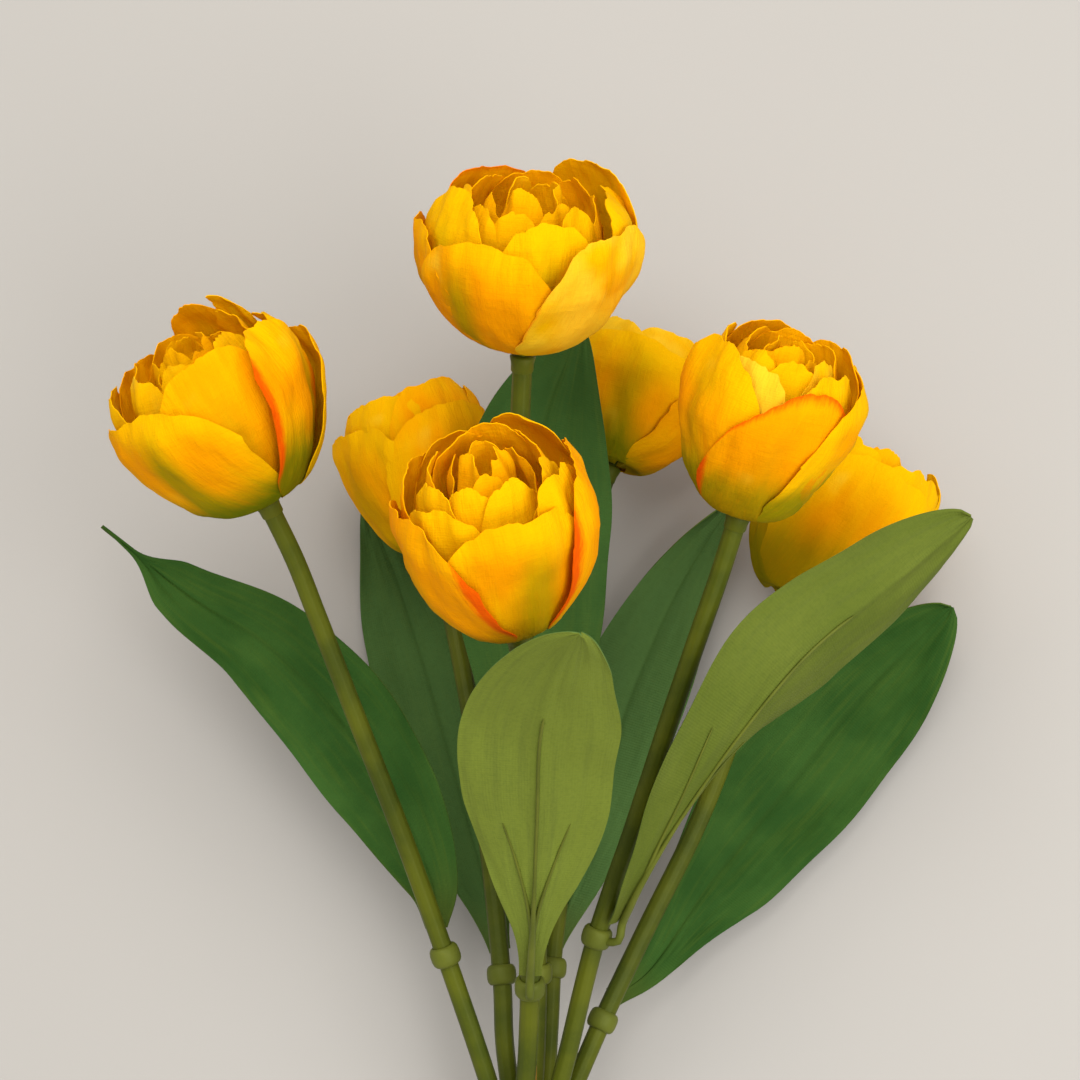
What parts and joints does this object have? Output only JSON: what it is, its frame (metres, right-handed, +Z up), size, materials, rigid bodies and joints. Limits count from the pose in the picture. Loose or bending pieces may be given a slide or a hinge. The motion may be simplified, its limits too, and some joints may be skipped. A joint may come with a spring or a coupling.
{
  "type": "artificial tulip bunch",
  "caption": "Bunch of artificial double tulips lying down: fabric petals in folded cups on wired plastic stems with fabric leaves, joined in one trunk.",
  "frame": {"origin": "middle of the bunch's footprint, on the surface that it lies on", "axes": "+Z up from that surface, +Y along the bunch from the trunk's foot to the heads, +X to the right seen from above with the heads away"},
  "size_m": [0.2382, 0.3148, 0.1866],
  "materials": {
    "outer_petal_fabric": "woven crinkled polyester petal, yellow and orange with a green stripe",
    "middle_petal_fabric": "woven crinkled polyester petal, yellow with an orange flush",
    "inner_petal_fabric": "woven crinkled polyester petal, ruffled, deep orange",
    "calyx_plastic": "moulded soft plastic, olive green",
    "stem_plastic": "moulded soft plastic over wire, lightly ribbed, olive green",
    "steel_wire": "plain drawn steel wire",
    "leaf_fabric": "coated woven polyester, dark green on top and light olive below",
    "rib_plastic": "moulded soft plastic rib and collar, light olive",
    "trunk_plastic": "moulded soft plastic, olive green",
    "stub_plastic": "moulded soft plastic, orange brown"
  },
  "bodies": {
    "root": {"trunk": "trunk_plastic", "stub": "stub_plastic", "outer_petals_1": "outer_petal_fabric", "middle_petals_1": "middle_petal_fabric", "inner_petals_1": "inner_petal_fabric", "calyx_1": "calyx_plastic", "stem_1": "stem_plastic", "wire_1": "steel_wire", "leaf_1": "leaf_fabric", "leaf_rib_1": "rib_plastic", "outer_petals_2": "outer_petal_fabric", "middle_petals_2": "middle_petal_fabric", "inner_petals_2": "inner_petal_fabric", "calyx_2": "calyx_plastic", "stem_2": "stem_plastic", "wire_2": "steel_wire", "leaf_2": "leaf_fabric", "leaf_rib_2": "rib_plastic", "outer_petals_3": "outer_petal_fabric", "middle_petals_3": "middle_petal_fabric", "inner_petals_3": "inner_petal_fabric", "calyx_3": "calyx_plastic", "stem_3": "stem_plastic", "wire_3": "steel_wire", "leaf_3": "leaf_fabric", "leaf_rib_3": "rib_plastic", "outer_petals_4": "outer_petal_fabric", "middle_petals_4": "middle_petal_fabric", "inner_petals_4": "inner_petal_fabric", "calyx_4": "calyx_plastic", "stem_4": "stem_plastic", "wire_4": "steel_wire", "leaf_4": "leaf_fabric", "leaf_rib_4": "rib_plastic", "outer_petals_5": "outer_petal_fabric", "middle_petals_5": "middle_petal_fabric", "inner_petals_5": "inner_petal_fabric", "calyx_5": "calyx_plastic", "stem_5": "stem_plastic", "wire_5": "steel_wire", "leaf_5": "leaf_fabric", "leaf_rib_5": "rib_plastic", "outer_petals_6": "outer_petal_fabric", "middle_petals_6": "middle_petal_fabric", "inner_petals_6": "inner_petal_fabric", "calyx_6": "calyx_plastic", "stem_6": "stem_plastic", "wire_6": "steel_wire", "leaf_6": "leaf_fabric", "leaf_rib_6": "rib_plastic", "outer_petals_7": "outer_petal_fabric", "middle_petals_7": "middle_petal_fabric", "inner_petals_7": "inner_petal_fabric", "calyx_7": "calyx_plastic", "stem_7": "stem_plastic", "wire_7": "steel_wire", "leaf_7": "leaf_fabric", "leaf_rib_7": "rib_plastic"}
  },
  "joints": []
}
